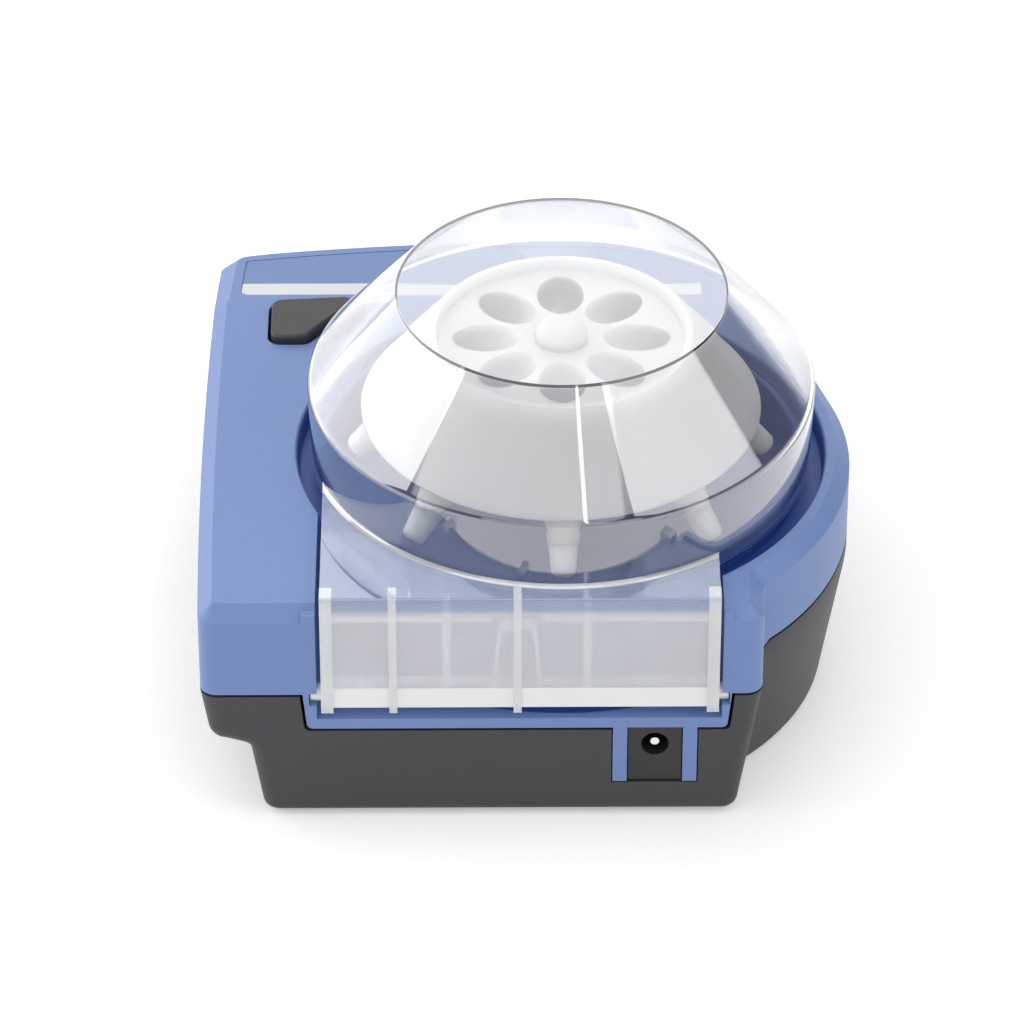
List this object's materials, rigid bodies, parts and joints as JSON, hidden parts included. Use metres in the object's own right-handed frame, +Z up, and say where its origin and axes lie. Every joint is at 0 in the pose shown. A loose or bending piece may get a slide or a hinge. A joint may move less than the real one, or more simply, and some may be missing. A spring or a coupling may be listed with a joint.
{
  "type": "mini centrifuge",
  "caption": "Mini centrifuge: rounded bench casing on a drafted base, clear domed lid on a rear snap hinge, rotor with slanted tube pockets on a motor spindle, rocker and rear power inlet.",
  "frame": {"origin": "centre of the footprint at bench level, under the feet", "axes": "+Z up along the rotor axis, +Y to the rear where the lid's hinge and the power inlet are, +X to the side with the power rocker"},
  "size_m": [0.157, 0.1694, 0.1073],
  "materials": {
    "blue_casing": "satin",
    "dark_casing": "fine texture",
    "label_film": "satin",
    "black_plastic": "satin",
    "white_plastic": "satin",
    "frosted_plastic": "frosted",
    "clear_plastic": "polished",
    "black_rubber": "matte",
    "steel": "turned",
    "core_steel": "stamped",
    "magnet": "ground",
    "plate_aluminium": "plain",
    "contact_metal": "plated",
    "board_green": "lacquered",
    "capacitor_sleeve": "sleeved"
  },
  "bodies": {
    "casing": {"upper_housing": "blue_casing", "base_shell": "dark_casing", "front_label": "label_film", "jack_panel": "black_plastic", "dc_jack": "black_plastic", "jack_pin": "contact_metal", "motor_can": "steel", "motor_end_cap": "black_plastic", "motor_stator": "core_steel", "motor_bearings": "steel", "motor_plate": "plate_aluminium", "motor_dampers": "black_rubber", "damper_screws": "steel", "motor_screws": "steel", "spindle_seal": "black_rubber", "switch_body": "black_plastic", "rocker_pin": "steel", "circuit_board": "board_green", "board_screws": "steel", "capacitors": "capacitor_sleeve", "driver_chip": "black_plastic", "board_connector": "white_plastic", "lid_switch": "black_plastic", "rubber_feet": "black_rubber", "housing_screws": "steel"},
    "lid_body": {"lid": "clear_plastic"},
    "spinner": {"rotor": "frosted_plastic", "rotor_knob": "frosted_plastic", "spindle": "steel", "motor_magnet": "magnet"},
    "rocker_body": {"rocker": "black_plastic"},
    "plunger_body": {"lid_plunger": "white_plastic"}
  },
  "joints": [
    {"name": "lid_hinge", "type": "hinge", "parent": "casing", "child": "lid_body", "pos_m": [-0.0085, 0.0801, 0.0352], "axis": [-1, 0, 0], "range_deg": [0, 95]},
    {"name": "rotor_spin", "type": "hinge", "parent": "casing", "child": "spinner", "pos_m": [-0.0085, 0.0176, 0], "axis": [0, 0, 1], "continuous": true},
    {"name": "rocker_tilt", "type": "hinge", "parent": "casing", "child": "rocker_body", "pos_m": [0.05516, -0.03485, 0.0578], "axis": [0, -1, 0], "range_deg": [0, 8]},
    {"name": "plunger_slide", "type": "slide", "parent": "casing", "child": "plunger_body", "axis": [0, 1, 0], "range_m": [0, 0.0015]}
  ],
  "couplings": [
    {"joint": "plunger_slide", "follows": "lid_hinge", "m_per_rad": 0.0009}
  ]
}
